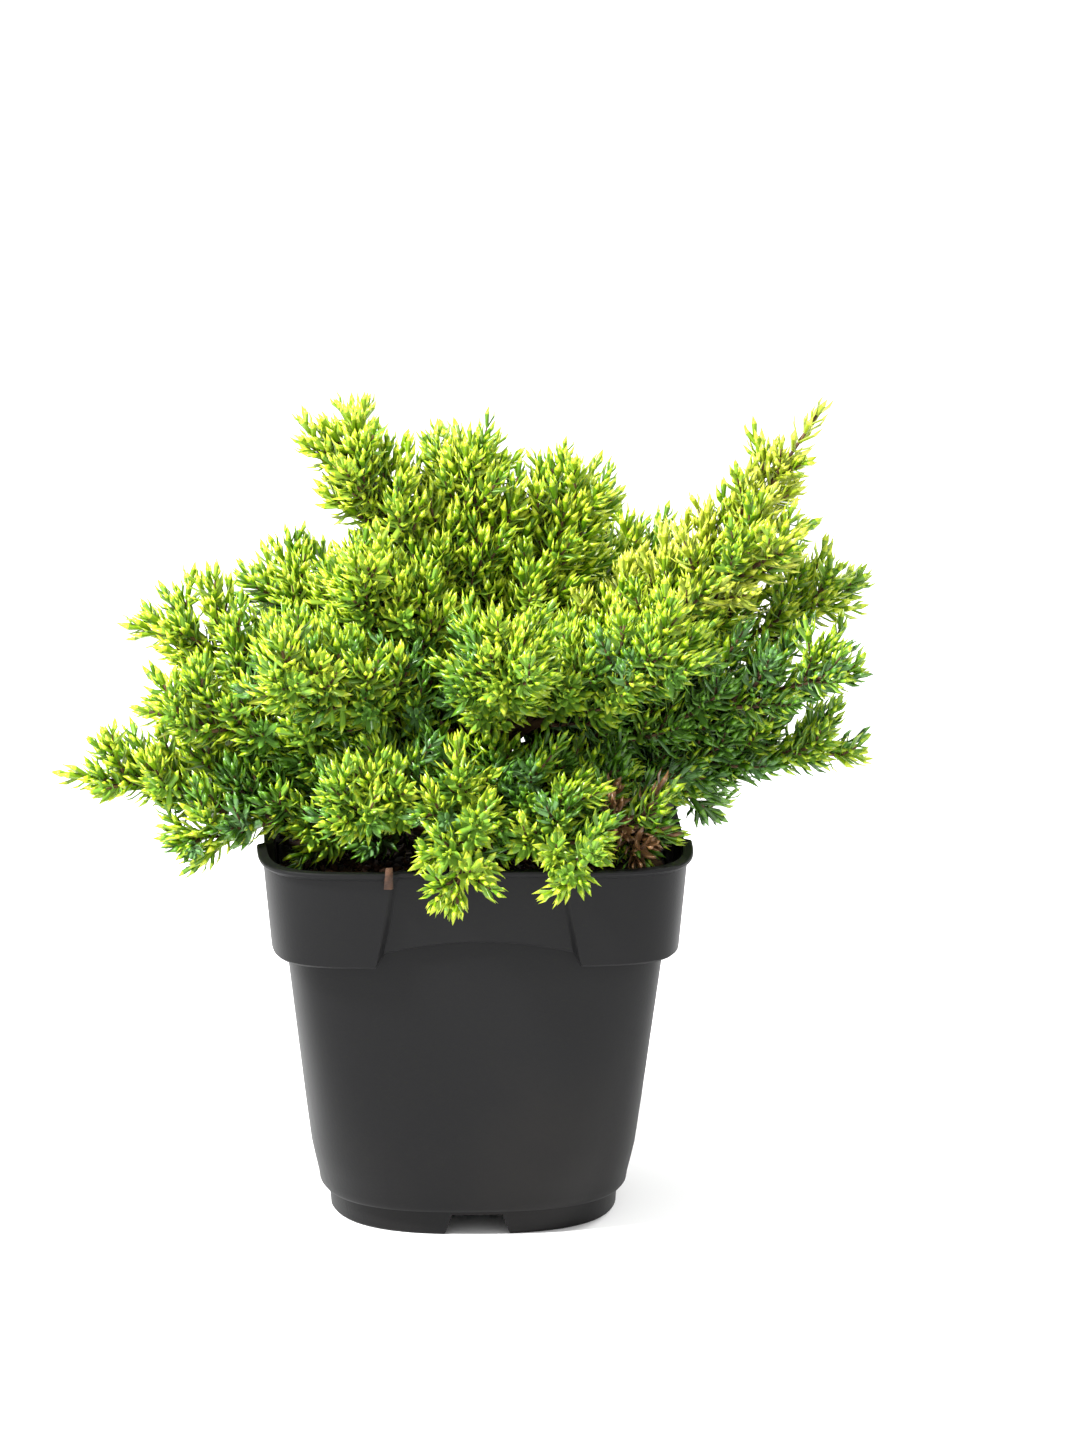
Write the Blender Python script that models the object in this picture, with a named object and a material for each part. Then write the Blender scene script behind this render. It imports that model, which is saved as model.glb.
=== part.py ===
"""A dwarf garden juniper in a square plastic pot, modelled at its real size.

Metres, +Z up, +X to the right and -Y towards the viewer. The origin is the middle of the
pot's underside. Run it with: blender --background --python part.py
"""

import math
import random
from collections import namedtuple

import bmesh
import bpy
from mathutils import Matrix, Vector
from mathutils.kdtree import KDTree

MM = 0.001
UP = Vector((0, 0, 1))
GOLDEN_TURN = math.radians(137.5)

# Driving dimensions of the pot
RIM_HEIGHT = 105.5 * MM
RIM_HALF = 58.9 * MM
COLLAR_LOW = 78.5 * MM  # lower edge of the four raised corners
ARCH_ENDS = 82.0 * MM  # lower edge of the panel between them, beside the corners
ARCH_MIDDLE = 85.0 * MM
COLLAR_HALF = 55.2 * MM  # half the collar's width at its lower edge
PANEL_DEPTH = 2.0 * MM  # how far the panel lies behind the corners
PANEL_HALF_TOP = 21.5 * MM
PANEL_HALF_LOW = 26.3 * MM
BEVEL_WIDTH = 1.4 * MM  # the slope between panel and corner
LIP_HEIGHT = 1.2 * MM
LIP_WIDTH = 1.3 * MM
WALL = 1.3 * MM
BODY_HALVES = ((9.5, 42.5), (18, 44.4), (32, 46.1), (76.5, 51.0))  # height, half width
RING_HEIGHT = 6.6 * MM
RING_HALF = 39.4 * MM
RING_WALL = 2.2 * MM
FLOOR_TOP = 8.4 * MM
FLOOR_UNDER = 6.2 * MM
NOTCH_HEIGHT = 5.6 * MM
NOTCH_HALF_LOW = 9.2 * MM
NOTCH_HALF_TOP = 6.8 * MM
ROUND_LOW = 2.6  # power of the plan's curve at the foot, almost a circle
ROUND_HIGH = 6.2  # and at the rim, a rounded square

# Driving dimensions of the compost and the plant
SOIL_TOP = 94.0 * MM
SOIL_ROUGHNESS = 1.6 * MM
SOIL_LEDGE = 88.0 * MM  # where the compost widens, above the wall's inner step
CLEAR = 0.3 * MM  # between touching solids
TRUNK_TOP = 150.0 * MM
TRUNK_RADIUS_LOW = 6.4 * MM
TRUNK_RADIUS_TOP = 3.6 * MM
FLARE_RADIUS = 9.5 * MM
FLARE_HEIGHT = 7.0 * MM
TRUNK_LEAN = Vector((3.0, -1.5, 0)) * MM  # sideways travel from foot to fork
BOUGH_RADIUS_FOOT = 1.7 * MM
BOUGH_RADIUS_TIP = 1.15 * MM
STEM_RADIUS_FOOT = 1.1 * MM
STEM_RADIUS_TIP = 0.6 * MM
NEEDLE_LENGTH = 12.5 * MM  # each stands for a tuft, so it is longer than a real needle
NEEDLE_HALF_WIDTH = 1.45 * MM
NEEDLE_FLATNESS = 0.6  # thickness over width
SPRAY_CORE_RADIUS = 2.7 * MM
SPACE_GAP = 0.7 * MM  # between the masses' own spaces

# One row for each limb: where its tip is, where it leaves the trunk, and the size of its foliage.
# azimuth is anticlockwise from +X in degrees; the rest is in millimetres. arch lifts the limb's
# middle above the straight line, girth is the reach of side sprays, lead the bare leading shoot.
Limb = namedtuple("Limb", "name azimuth reach height foot arch girth lead")
LIMBS = (
    Limb("low_left", -172, 113.1, 124, 108, -1, 24, 30),
    Limb("under_left", -163, 91, 105, 101, 7, 23, 14),
    Limb("mid_left", 176, 90, 164, 118, -2, 28, 22),
    Limb("small_left", -166, 94, 143, 112, 2, 23, 20),
    Limb("fore_left", -136, 84, 160, 124, 2, 27, 16),
    Limb("high_left", 152, 67, 172, 124, 0, 28, 12),
    Limb("top_left", 180, 40, 216.8, 139, 7, 27, 26),
    Limb("top_mid", 100, 12, 214, 150, 0, 27, 12),
    Limb("top_right", 22, 38, 202, 138, 0, 27, 12),
    Limb("spire", 3, 97, 221.4, 131, -16, 24, 36),
    Limb("upper_right", -10, 95, 193, 125, -2, 25, 18),
    Limb("high_right", 6, 113, 173, 118, 0, 26, 18),
    Limb("mid_right", -12, 112, 154, 112, 3, 26, 16),
    Limb("low_right", -2, 108, 127, 107, 3, 26, 14),
    Limb("under_right", 14, 78, 106, 101, 8, 22, 14),
    Limb("fore_right", -37, 77, 162, 124, 2, 28, 14),
    Limb("shelf_right", -44, 72, 107, 104, 8, 22, 12),
    Limb("drop_front_left", -95, 80, 92, 111, 18, 23, 16),
    Limb("drop_front_right", -68, 80, 99, 104, 15, 23, 12),
    Limb("front_mid", -80, 58, 160, 133, 0, 28, 14),
    Limb("shelf_left", -122, 76, 118, 107, 6, 24, 12),
    Limb("inner_left", -146, 45, 184, 133, 0, 27, 12),
    Limb("high_back_right", 42, 71, 178, 124, 0, 28, 12),
    Limb("top_back", 98, 48, 188, 134, 0, 28, 12),
    Limb("back_left", 128, 86, 147, 112, 2, 30, 14),
    Limb("back", 92, 83, 136, 107, 4, 30, 14),
    Limb("back_right", 58, 84.6, 143, 115, 2, 30, 14),
    Limb("low_back_left", 152, 94, 112, 101, 7, 27, 14),
    Limb("low_back_right", 32, 97, 118, 110, 4, 27, 14),
)
# These stand straight on the trunk, with no bough between
ON_TRUNK = {"top_left", "top_mid", "top_right", "front_mid", "inner_left", "top_back"}
ON_TRUNK_TIP = "top_mid"
BOUGH_SHARE = 0.36  # of a limb's length, before its foliage begins
SPRAYS_PER_MASS = 6
CORE_SIDES = 5
CORE_REACH = 0.58  # of the side sprays' reach
CORE_RINGS = ((0.05, 0.2), (0.25, 0.7), (0.5, 1.0), (0.75, 1.0), (0.97, 0.45))  # share, width
WHORLS_PER_SPRAY = 1
NEEDLES_PER_WHORL = 3
SEED = 22

# Colours seen on the real thing: red, green, blue, roughness
POT_LOOK = (0.028, 0.028, 0.031, 0.45)
SOIL_LOOK = (0.060, 0.025, 0.012, 0.95)
BARK_LOOK = (0.155, 0.075, 0.035, 0.85)
FOLIAGE_LOOK = (0.150, 0.330, 0.035, 0.50)


def clear_scene():
    for obj in list(bpy.data.objects):
        bpy.data.objects.remove(obj)


def collection(name):
    made = bpy.data.collections.new(name)
    bpy.context.scene.collection.children.link(made)
    return made


def material(name, look):
    made = bpy.data.materials.new(name)
    made.use_nodes = True
    shader = made.node_tree.nodes["Principled BSDF"]
    shader.inputs["Base Color"].default_value = (*look[:3], 1)
    shader.inputs["Roughness"].default_value = look[3]
    shader.inputs["Metallic"].default_value = 0
    return made


def object_of(bm, name, home, look=None):
    """A new object in the collection home from a bmesh, which this frees."""
    mesh = bpy.data.meshes.new(name)
    bm.to_mesh(mesh)
    bm.free()
    obj = bpy.data.objects.new(name, mesh)
    home.objects.link(obj)
    if look:
        mesh.materials.append(look)
    return obj


def evaluated_mesh(obj):
    return bpy.data.meshes.new_from_object(obj.evaluated_get(bpy.context.evaluated_depsgraph_get()))


# The pot


def interpolate(pairs, at):
    """The value at a place between the (place, value) pairs, in the pairs' own unit."""
    for (low, first), (high, second) in zip(pairs, pairs[1:]):
        if at <= high:
            return first + (second - first) * (at - low) / (high - low)
    return pairs[-1][1]


def roundness(height):
    """The power of the plan's curve, from almost round at the foot to square at the rim."""
    share = min(1, max(0, height / COLLAR_LOW))
    return ROUND_LOW + (ROUND_HIGH - ROUND_LOW) * share**1.5


def plan_point(half, power, angle):
    """A point on the rounded square, angle measured from its front middle."""
    c, s = abs(math.cos(angle)), abs(math.sin(angle))
    radius = half / (c**power + s**power) ** (1 / power)
    return radius * math.sin(angle), -radius * math.cos(angle)


def collar_half(height):
    share = (height - COLLAR_LOW) / (RIM_HEIGHT - COLLAR_LOW)
    return COLLAR_HALF + (RIM_HALF - LIP_WIDTH - COLLAR_HALF) * share


def face_columns(half, height):
    """(angle, how far out from panel to corner) for the columns of half a face, from its middle."""
    share = min(1, max(0, (height - COLLAR_LOW) / (RIM_HEIGHT - COLLAR_LOW)))
    panel_half = PANEL_HALF_LOW + (PANEL_HALF_TOP - PANEL_HALF_LOW) * share
    panel = math.atan(panel_half / half)
    corner = math.atan((panel_half + BEVEL_WIDTH) / half)
    rest = math.radians(45) - corner
    steps = ((0, 0), (panel * 0.55, 0), (panel, 0), (corner, 1))
    return steps + tuple((corner + rest * k, 1) for k in (0.6, 1))


def ring_of(half, height, inset, is_collar=False, is_arched=False, every=1):
    """One closed ring of points round the pot. is_arched lifts the panels' points to the arch."""
    columns = face_columns(half, height)
    mirrored = [(-angle, out) for angle, out in columns[:0:-1]]
    face = (mirrored + list(columns))[:-1]
    points = []
    for quarter in range(4):
        for index, (angle, out) in enumerate(face):
            if index % every != every - 1:
                continue
            depth = PANEL_DEPTH * (1 - out) if is_collar else 0
            x, y = plan_point(half - inset - depth, roundness(height), angle)
            lift = 0.0
            if is_arched and not out:
                across = angle / columns[2][0]
                arch = ARCH_ENDS + (ARCH_MIDDLE - ARCH_ENDS) * (1 - across * across)
                lift = arch - COLLAR_LOW
            turn = Matrix.Rotation(math.radians(90) * quarter, 3, "Z")
            points.append(turn @ Vector((x, y, height + lift)))
    return points


def loft(rings, name, home, look=None, top=None):
    """A closed mesh through rings of equally many points. top is an optional last fan point."""
    bm = bmesh.new()
    rows = [[bm.verts.new(p) for p in ring] for ring in rings]
    for low, high in zip(rows, rows[1:]):
        for i in range(len(low)):
            j = (i + 1) % len(low)
            bm.faces.new((low[i], low[j], high[j], high[i]))
    bm.faces.new(rows[0][::-1])
    if top is None:
        bm.faces.new(rows[-1])
    else:
        peak = bm.verts.new(top)
        for i in range(len(rows[-1])):
            bm.faces.new((rows[-1][i], rows[-1][(i + 1) % len(rows[-1])], peak))
    bmesh.ops.recalc_face_normals(bm, faces=bm.faces)
    return object_of(bm, name, home, look)


def body_rings(inset, low, every=1):
    """The plain tapered body's rings from the height low up to the collar."""
    body = [(h * MM, w * MM) for h, w in BODY_HALVES]
    heights = [low] + [h for h, _ in body if h > low + MM]
    return [ring_of(interpolate(body, h), h, inset, every=every) for h in heights]


def collar_rings(inset, tops):
    """The collar's rings: the step out of the body, then the heights in tops."""
    step = COLLAR_LOW + inset
    body_half = BODY_HALVES[-1][1] * MM
    rings = [ring_of(body_half, step - 0.3 * MM, inset, is_arched=True)]
    rings.append(ring_of(COLLAR_HALF, step, inset, is_collar=True, is_arched=True))
    for height in tops:
        rings.append(ring_of(collar_half(height), height, inset, is_collar=True))
    return rings


def outer_rings():
    """The whole outside, from the foot ring to the lip."""
    low_half = BODY_HALVES[0][1] * MM
    rings = [
        ring_of(RING_HALF, 0, 0),
        ring_of(RING_HALF + 0.4 * MM, RING_HEIGHT, 0),
        ring_of(low_half - 0.6 * MM, RING_HEIGHT + 0.4 * MM, 0),
    ]
    rings += body_rings(0, BODY_HALVES[0][0] * MM)
    lip_low = RIM_HEIGHT - LIP_HEIGHT
    rings += collar_rings(0, (lip_low - 0.8 * MM,))
    rings.append(ring_of(RIM_HALF, lip_low, 0, is_collar=True))
    rings.append(ring_of(RIM_HALF, RIM_HEIGHT, 0, is_collar=True))
    return rings


def notch_cutter(turn, home):
    """A prism right across the foot ring, wider at the ground."""
    reach = RIM_HALF
    below = -1 * MM
    outline = (
        (-NOTCH_HALF_LOW, below),
        (NOTCH_HALF_LOW, below),
        (NOTCH_HALF_TOP, NOTCH_HEIGHT),
        (-NOTCH_HALF_TOP, NOTCH_HEIGHT),
    )
    rings = [[Vector((x, y, z)) for x, z in outline] for y in (-reach, reach)]
    rings = [[Matrix.Rotation(turn, 3, "Z") @ p for p in ring] for ring in rings]
    return loft(rings, "notch_cutter", home)


def pot(home, cutters, look):
    made = loft(outer_rings(), "pot", home, look)
    above = RIM_HEIGHT + 3 * MM
    recess_half = RING_HALF - RING_WALL
    tools = [
        loft(body_rings(WALL, FLOOR_TOP) + collar_rings(WALL, (above,)), "cavity_cutter", cutters),
        loft(
            [ring_of(recess_half, -MM, 0), ring_of(recess_half, FLOOR_UNDER, 0)],
            "recess_cutter",
            cutters,
        ),
        notch_cutter(0, cutters),
        notch_cutter(math.radians(90), cutters),
    ]
    for tool in tools:
        tool.hide_render = True
        tool.display_type = "WIRE"
        cut = made.modifiers.new(tool.name, "BOOLEAN")
        cut.operation = "DIFFERENCE"
        cut.object = tool
    return made


def soil(home, look):
    """The compost that fills the pot, with an uneven top round a level seat for the trunk."""
    rng = random.Random(SEED)
    inset = WALL + 2 * CLEAR
    rings = body_rings(inset, FLOOR_TOP + 2 * CLEAR, every=2)
    rings.append(ring_of(BODY_HALVES[-1][1] * MM, SOIL_LEDGE, inset, every=2))
    for height in (SOIL_LEDGE + 2 * MM, SOIL_TOP):
        rings.append(ring_of(collar_half(height), height, inset, is_collar=True, every=2))
    edge = rings[-1]
    for share in (0.78, 0.5):
        rings.append(
            [
                Vector((p.x * share, p.y * share, p.z + rng.uniform(-1, 1) * SOIL_ROUGHNESS))
                for p in edge
            ]
        )
    seat = FLARE_RADIUS * 1.3
    rings.append([Vector((*(p.xy.normalized() * seat), SOIL_TOP)) for p in edge])
    return loft(rings, "compost", home, look)


# The plant's limbs


def trunk_axis(height):
    """The middle of the leaning trunk at a height above the ground."""
    share = (height - SOIL_TOP) / (TRUNK_TOP - SOIL_TOP)
    return TRUNK_LEAN * share * share + Vector((0, 0, height))


def trunk_radius(height):
    above = height - SOIL_TOP
    share = above / (TRUNK_TOP - SOIL_TOP)
    flare = (FLARE_RADIUS - TRUNK_RADIUS_LOW) * max(0, 1 - above / FLARE_HEIGHT) ** 2
    return TRUNK_RADIUS_LOW + (TRUNK_RADIUS_TOP - TRUNK_RADIUS_LOW) * share + flare


def tube(name, points, radii, home, look, resolution):
    """A tapering round limb: a curve with a bevel and filled caps."""
    data = bpy.data.curves.new(name, "CURVE")
    data.dimensions = "3D"
    data.bevel_depth = 1
    data.bevel_resolution = resolution
    data.use_fill_caps = True
    spline = data.splines.new("POLY")
    spline.points.add(len(points) - 1)
    for slot, point, radius in zip(spline.points, points, radii):
        slot.co = (*point, 1)
        slot.radius = radius
    obj = bpy.data.objects.new(name, data)
    home.objects.link(obj)
    data.materials.append(look)
    return obj


def trunk(home, look):
    low = SOIL_TOP + CLEAR
    steps = (0, 0.04, 0.1, 0.18, 0.4, 0.7, 1)
    heights = [low + (TRUNK_TOP - low) * s for s in steps]
    points = [trunk_axis(h) for h in heights]
    return tube("trunk", points, [trunk_radius(h) for h in heights], home, look, 4)


def tip_of(limb):
    turn = math.radians(limb.azimuth)
    reach = limb.reach * MM
    return Vector((reach * math.cos(turn), reach * math.sin(turn), limb.height * MM))


def root_on_trunk(foot, way, radius):
    """Where a limb's flat end, of this radius, stands just clear of the trunk's side."""
    flat = Vector((way.x, way.y, 0)).normalized()
    inward = (flat - way * flat.dot(way)).normalized() * radius
    reach = 0.0
    while True:
        centre = foot + way * reach
        inner = centre - inward
        axis = trunk_axis(min(inner.z, TRUNK_TOP))
        if (inner.xy - axis.xy).length >= trunk_radius(min(inner.z, TRUNK_TOP)) + CLEAR:
            return centre
        reach += 0.05 * MM


def limb_curve(limb, steps=24):
    """Points from the trunk's surface, or its tip, to the end of the limb's leading shoot."""
    foot = trunk_axis(limb.foot * MM)
    tip = tip_of(limb)
    middle = foot.lerp(tip, 0.5) + UP * limb.arch * 2 * MM
    if limb.name == ON_TRUNK_TIP:
        start = foot + UP * CLEAR
    else:
        radius = STEM_RADIUS_FOOT if limb.name in ON_TRUNK else BOUGH_RADIUS_FOOT
        start = root_on_trunk(foot, (middle - foot).normalized(), radius)
    shares = [i / steps for i in range(steps + 1)]
    return [
        start * (1 - t) ** 2 + middle * 2 * t * (1 - t) + tip * t * t for t in shares
    ]


def along(points, share):
    """The point at a share of the way along evenly numbered points."""
    place = min(max(share, 0), 1) * (len(points) - 1)
    index = min(int(place), len(points) - 2)
    return points[index].lerp(points[index + 1], place - index)


def heading(points, share):
    step = 0.04
    return (along(points, share + step) - along(points, share - step)).normalized()


def run_of(points, first, last, count):
    return [along(points, first + (last - first) * i / (count - 1)) for i in range(count)]


def bough_end(limb):
    return 0.0 if limb.name in ON_TRUNK else BOUGH_SHARE


def stem_run(limb, points, count=6):
    """The middle line of a mass's stem, 0.3 mm clear of its bough and short of its last needles."""
    length = sum((b - a).length for a, b in zip(points, points[1:]))
    first = bough_end(limb) + (CLEAR / length if bough_end(limb) else 0)
    last = 1 - 0.55 * NEEDLE_LENGTH / length
    return run_of(points, first, last, count)


def bough(limb, points, home, look):
    run = run_of(points, 0, BOUGH_SHARE, 6)
    radii = [
        BOUGH_RADIUS_FOOT + (BOUGH_RADIUS_TIP - BOUGH_RADIUS_FOOT) * i / 5 for i in range(6)
    ]
    return tube("bough_" + limb.name, run, radii, home, look, 0)


# The masses of foliage


class Spaces:
    """Which mass owns a point, so that each mass keeps to its own space."""

    def __init__(self, curves):
        self.axes = {}
        for limb in LIMBS:
            run = run_of(curves[limb.name], bough_end(limb), 1, 40)
            self.axes[limb.name] = self.tree(run)
        self.others = {}
        for name in self.axes:
            rest = [
                point
                for limb in LIMBS
                if limb.name != name
                for point in run_of(curves[limb.name], bough_end(limb), 1, 40)
            ]
            self.others[name] = self.tree(rest)
        wood = []
        for limb in LIMBS:
            if limb.name not in ON_TRUNK:
                wood += run_of(curves[limb.name], 0, BOUGH_SHARE, 24)
        self.boughs = self.tree(wood)

    @staticmethod
    def tree(points):
        tree = KDTree(len(points))
        for index, point in enumerate(points):
            tree.insert(point, index)
        tree.balance()
        return tree

    def clear_of_wood(self, point, radius):
        """True if a ball there touches neither a bough nor the trunk."""
        if self.boughs.find(point)[2] < BOUGH_RADIUS_FOOT + radius + 2 * CLEAR:
            return False
        height = min(max(point.z, SOIL_TOP), TRUNK_TOP)
        return (point - trunk_axis(height)).length > trunk_radius(height) + radius + 2 * CLEAR

    def clear_of_pot(self, point, radius):
        """True if a ball there is above the compost inside the pot, or outside its walls."""
        margin = radius + 1.2 * MM
        if point.z > RIM_HEIGHT + margin:
            return True
        across = math.atan2(point.x, -point.y)
        x, y = plan_point(RIM_HALF, ROUND_HIGH, across)
        edge = math.hypot(x, y)
        reach = math.hypot(point.x, point.y)
        if reach > edge + margin:
            return point.z > COLLAR_LOW
        inside = edge - LIP_WIDTH - PANEL_DEPTH - WALL - margin
        return reach < inside and point.z > SOIL_TOP + SOIL_ROUGHNESS + margin

    def holds(self, name, point, radius):
        """True if a ball there is in the mass's own space and touches no limb and no pot."""
        own = self.axes[name].find(point)[2]
        other = self.others[name].find(point)[2]
        if own + SPACE_GAP + 2 * radius > other:
            return False
        if own > 2 * MM and not self.clear_of_wood(point, radius):
            return False
        return self.clear_of_pot(point, radius)


def frame_at(origin, way, roll):
    """A matrix whose +Z points along way, turned by roll about it."""
    turn = way.to_track_quat("Z", "Y").to_matrix().to_4x4()
    return Matrix.Translation(origin) @ turn @ Matrix.Rotation(roll, 4, "Z")


def needle(origin, way, roll, length, home):
    """A flattened three-sided spike whose root is sunk in what carries it."""
    bm = bmesh.new()
    shape = Matrix.Diagonal((1, NEEDLE_FLATNESS, 1, 1)) @ Matrix.Translation((0, 0, length / 2))
    bmesh.ops.create_cone(
        bm,
        cap_ends=True,
        segments=3,
        radius1=NEEDLE_HALF_WIDTH,
        radius2=0,
        depth=length,
        matrix=frame_at(origin, way, roll) @ shape,
    )
    return object_of(bm, "needle", home)


def spray_core(origin, way, roll, length, home):
    """The slim core of a leafy shoot: a spindle from inside its stem to near its tip."""
    bm = bmesh.new()
    shape = Matrix.Translation((0, 0, length / 2)) @ Matrix.Diagonal(
        (SPRAY_CORE_RADIUS, SPRAY_CORE_RADIUS, length / 2, 1)
    )
    bmesh.ops.create_uvsphere(
        bm,
        u_segments=3,
        v_segments=4,
        radius=1,
        matrix=frame_at(origin, way, roll) @ shape,
    )
    return object_of(bm, "spray_core", home)


def leafy_shoot(name, origin, way, length, rng, spaces, home):
    """A spray: its core, whorls of needles round it and one at its tip. False if it has no room."""
    reach = length
    while reach > 0.5 * length:
        if all(
            spaces.holds(name, origin + way * reach * s, SPRAY_CORE_RADIUS * r)
            for s, r in ((0.45, 1), (0.75, 0.8), (1, 0.2))
        ):
            break
        reach -= 0.1 * length
    else:
        return False
    roll = rng.uniform(0, math.tau)
    spray_core(origin, way, roll, reach, home)
    for whorl in range(WHORLS_PER_SPRAY):
        share = 0.42 + 0.34 * whorl
        for k in range(NEEDLES_PER_WHORL):
            turn = roll + math.tau * (k + whorl / 2) / NEEDLES_PER_WHORL
            side = frame_at(origin, way, turn).col[0].to_3d()
            spread = math.radians(rng.uniform(42, 56) - 12 * whorl)
            point_way = way * math.cos(spread) + side * math.sin(spread)
            size = NEEDLE_LENGTH * rng.uniform(0.88, 1.08)
            root = origin + way * reach * share
            if all(
                spaces.holds(name, root + point_way * size * s, NEEDLE_HALF_WIDTH * r)
                for s, r in ((0.4, 0.6), (0.75, 0.3), (1, 0.1))
            ):
                needle(root, point_way, rng.uniform(0, math.tau), size, home)
    root = origin + way * reach * 0.72
    if spaces.holds(name, root + way * NEEDLE_LENGTH, 0.1 * MM):
        needle(root, way, roll, NEEDLE_LENGTH, home)
    return True


def shoot_way(forward, turn, lift):
    """The heading of a side shoot: out from its stem, forward, and up towards the light."""
    side = frame_at(Vector(), forward, turn).col[0].to_3d()
    return (forward * 0.62 + side * 0.78 + UP * lift).normalized()


def lumpy_core(name, run, last, reach, rng, spaces, home):
    """The dense inside of a mass: a knobbly skin round its stem, kept in the mass's own space."""
    rings = []
    for place, width in CORE_RINGS:
        share = place * last
        centre = along(run, share)
        frame = frame_at(centre, heading(run, share), 0)
        ring = []
        for side in range(CORE_SIDES):
            turn = math.tau * (side + share * 2) / CORE_SIDES
            out = (frame.col[0] * math.cos(turn) + frame.col[1] * math.sin(turn)).to_3d()
            ring.append((centre, out, reach * width * rng.uniform(0.85, 1.15)))
        rings.append(ring)
    corners = [corner for ring in rings for corner in ring]
    sizes = [size for _, _, size in corners]
    quads = []
    for row in range(len(rings) - 1):
        for side in range(CORE_SIDES):
            after = (side + 1) % CORE_SIDES
            base = row * CORE_SIDES
            quads.append((base + side, base + after, base + after + CORE_SIDES, base + side + CORE_SIDES))
    while True:
        points = [c + out * size for (c, out, _), size in zip(corners, sizes)]
        tight = set()
        for quad in quads:
            for a, b in zip(quad, quad[1:] + quad[:1]):
                for share in (0, 0.5):
                    if not spaces.holds(name, points[a].lerp(points[b], share), 0.2 * MM):
                        tight |= {a, b}
            middle = sum((points[k] for k in quad), Vector()) / 4
            if not spaces.holds(name, middle, 0.2 * MM):
                tight |= set(quad)
        tight = {k for k in tight if sizes[k] > 0.9 * MM}
        if not tight:
            break
        for k in tight:
            sizes[k] *= 0.92
    shape = [points[i : i + CORE_SIDES] for i in range(0, len(points), CORE_SIDES)]
    return loft(shape, "core", home)


def keep_outer_shell(mesh):
    """Leave only the mesh's largest closed shell. Returns whether that is one sound solid."""
    bm = bmesh.new()
    bm.from_mesh(mesh)
    left = set(bm.faces)
    shells = []
    while left:
        found = {left.pop()}
        edge = list(found)
        while edge:
            for border in edge.pop().edges:
                new = set(border.link_faces) & left
                left -= new
                found |= new
                edge += new
        shells.append(found)
    largest = max(shells, key=len)
    scraps = [f for shell in shells if shell is not largest for f in shell]
    bmesh.ops.delete(bm, geom=scraps, context="FACES")
    bmesh.ops.triangulate(bm, faces=bm.faces)
    bm.to_mesh(mesh)
    bmesh.ops.remove_doubles(bm, verts=bm.verts, dist=2e-6)
    is_sound = all(e.is_manifold for e in bm.edges) and all(v.is_manifold for v in bm.verts)
    bm.free()
    return is_sound


def fuse(name, stem, pieces, home, look):
    """One solid from a stem and a collection of pieces, which are then removed; None if unsound."""
    join = stem.modifiers.new("fuse", "BOOLEAN")
    join.operation = "UNION"
    join.operand_type = "COLLECTION"
    join.collection = pieces
    join.solver = "MANIFOLD"
    mesh = evaluated_mesh(stem)
    is_sound = keep_outer_shell(mesh)
    for obj in [stem, *pieces.objects]:
        bpy.data.objects.remove(obj)
    bpy.data.collections.remove(pieces)
    if not is_sound:
        return None
    made = bpy.data.objects.new(name, mesh)
    home.objects.link(made)
    mesh.materials.clear()
    mesh.materials.append(look)
    return made


def stem_mesh(limb, run, home, look):
    """A stem as a closed mesh that a Boolean can join."""
    last = len(run) - 1
    radii = [
        STEM_RADIUS_FOOT + (STEM_RADIUS_TIP - STEM_RADIUS_FOOT) * i / last
        for i in range(last + 1)
    ]
    curve = tube("stem_" + limb.name, run, radii, home, look, 0)
    bm = bmesh.new()
    bm.from_mesh(evaluated_mesh(curve))
    bmesh.ops.remove_doubles(bm, verts=bm.verts, dist=1e-6)
    bmesh.ops.recalc_face_normals(bm, faces=bm.faces)
    bpy.data.objects.remove(curve)
    return object_of(bm, "stem_" + limb.name, home)


def foliage(limb, points, spaces, home, look):
    """A mass: one stem, side shoots placed round it by a seeded rule, and their needles."""
    run = stem_run(limb, points)
    length = sum((b - a).length for a, b in zip(run, run[1:]))
    girth = limb.girth * MM
    lead = min(limb.lead * MM / length, 0.6)
    lift = 0.42 if limb.height * MM > RIM_HEIGHT + 10 * MM else 0.05
    for attempt in range(12):
        rng = random.Random(f"{SEED}-{attempt}-{limb.name}")
        stem = stem_mesh(limb, run, home, look)
        pieces = collection("pieces_" + limb.name)
        turn = rng.uniform(0, math.tau)
        for index in range(SPRAYS_PER_MASS - 1):
            place = (index + rng.uniform(0.2, 0.8)) / (SPRAYS_PER_MASS - 1)
            share = 0.1 + (0.94 - lead) * place
            for _ in range(6):
                turn += GOLDEN_TURN
                way = shoot_way(heading(run, share), turn, lift)
                size = girth * rng.uniform(0.95, 1.2) * (1.08 - 0.3 * share)
                if leafy_shoot(limb.name, along(run, share), way, size, rng, spaces, pieces):
                    break
        lumpy_core(limb.name, run, 1 - 0.7 * lead, girth * CORE_REACH, rng, spaces, pieces)
        tip_way = heading(run, 1)
        start = run[-1] - tip_way * girth * 0.8
        leafy_shoot(limb.name, start, tip_way, girth * 0.85, rng, spaces, pieces)
        if fuse("foliage_" + limb.name, stem, pieces, home, look):
            return


def main():
    clear_scene()
    parts = collection("potted_juniper")
    cutters = collection("cutters")
    pot(parts, cutters, material("pot_plastic", POT_LOOK))
    soil(parts, material("compost", SOIL_LOOK))
    bark = material("bark", BARK_LOOK)
    green = material("foliage", FOLIAGE_LOOK)
    trunk(parts, bark)
    curves = {limb.name: limb_curve(limb) for limb in LIMBS}
    spaces = Spaces(curves)
    for limb in LIMBS:
        if limb.name not in ON_TRUNK:
            bough(limb, curves[limb.name], parts, bark)
        foliage(limb, curves[limb.name], spaces, parts, green)


main()
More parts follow.
